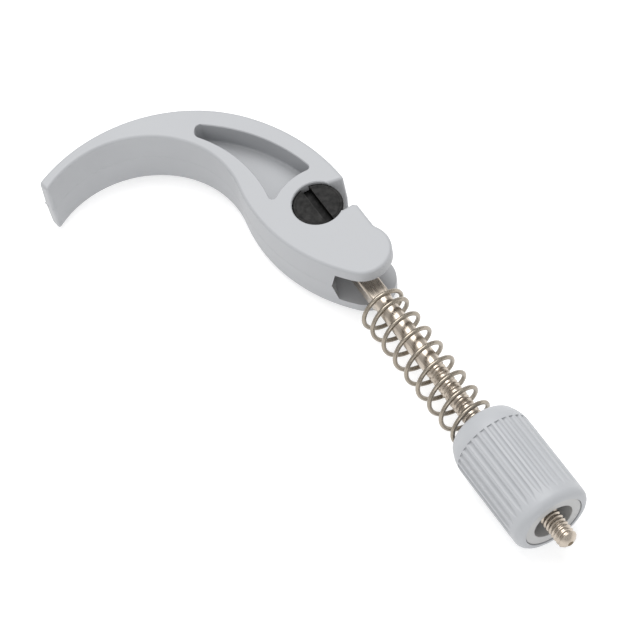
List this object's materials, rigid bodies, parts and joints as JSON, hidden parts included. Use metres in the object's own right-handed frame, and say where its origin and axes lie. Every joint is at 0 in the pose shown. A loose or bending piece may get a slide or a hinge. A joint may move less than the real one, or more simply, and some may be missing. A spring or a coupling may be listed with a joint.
{
  "type": "stair gate latch",
  "caption": "Hand-tightened cam lever on a cross dowel that pulls a spring-loaded threaded rod with a fluted adjusting nut.",
  "frame": {"origin": "middle of the whole part's box in X and Y, at the height of its underside as it lies on its side", "axes": "+X along the rod from the lever to the rod's free end, +Z along the pivot axis, +Y towards the bearing flat of the cam"},
  "size_m": [0.199, 0.0798, 0.0246],
  "materials": {
    "lever_plastic": "light grey moulded plastic with a fine grain",
    "black_steel": "black oxide, slightly mottled",
    "plated_steel": "nickel plate with a warm tint and fine drawn lines",
    "spring_wire": "nickel-plated spring wire",
    "grip_plastic": "light grey moulded plastic, fluted",
    "core_plastic": "light grey moulded plastic",
    "insert_brass": "turned brass"
  },
  "bodies": {
    "rod": {"threaded_rod": "plated_steel", "cross_dowel": "black_steel"},
    "lever": {"lever": "lever_plastic"},
    "spring": {"compression_spring": "spring_wire"},
    "adjusting_nut": {"nut_grip_sleeve": "grip_plastic", "nut_core_bush": "core_plastic", "nut_thread_insert": "insert_brass"}
  },
  "joints": [
    {"name": "lever_swing", "type": "hinge", "parent": "rod", "child": "lever", "pos_m": [-0.0355, 0.02758, 0.0123], "axis": [0, 0, 1], "range_deg": [-85, 3]},
    {"name": "nut_travel", "type": "slide", "parent": "rod", "child": "spring", "axis": [1, 0, 0], "range_m": [-0.02541, 0.00763], "deforming": ["compression_spring"]},
    {"name": "nut_turn", "type": "hinge", "parent": "spring", "child": "adjusting_nut", "pos_m": [0.0725, 0.02758, 0.0123], "axis": [1, 0, 0], "range_deg": [-7200, 2160]}
  ],
  "couplings": [
    {"joint": "nut_travel", "follows": "nut_turn", "m_per_rad": 0.00020213}
  ]
}
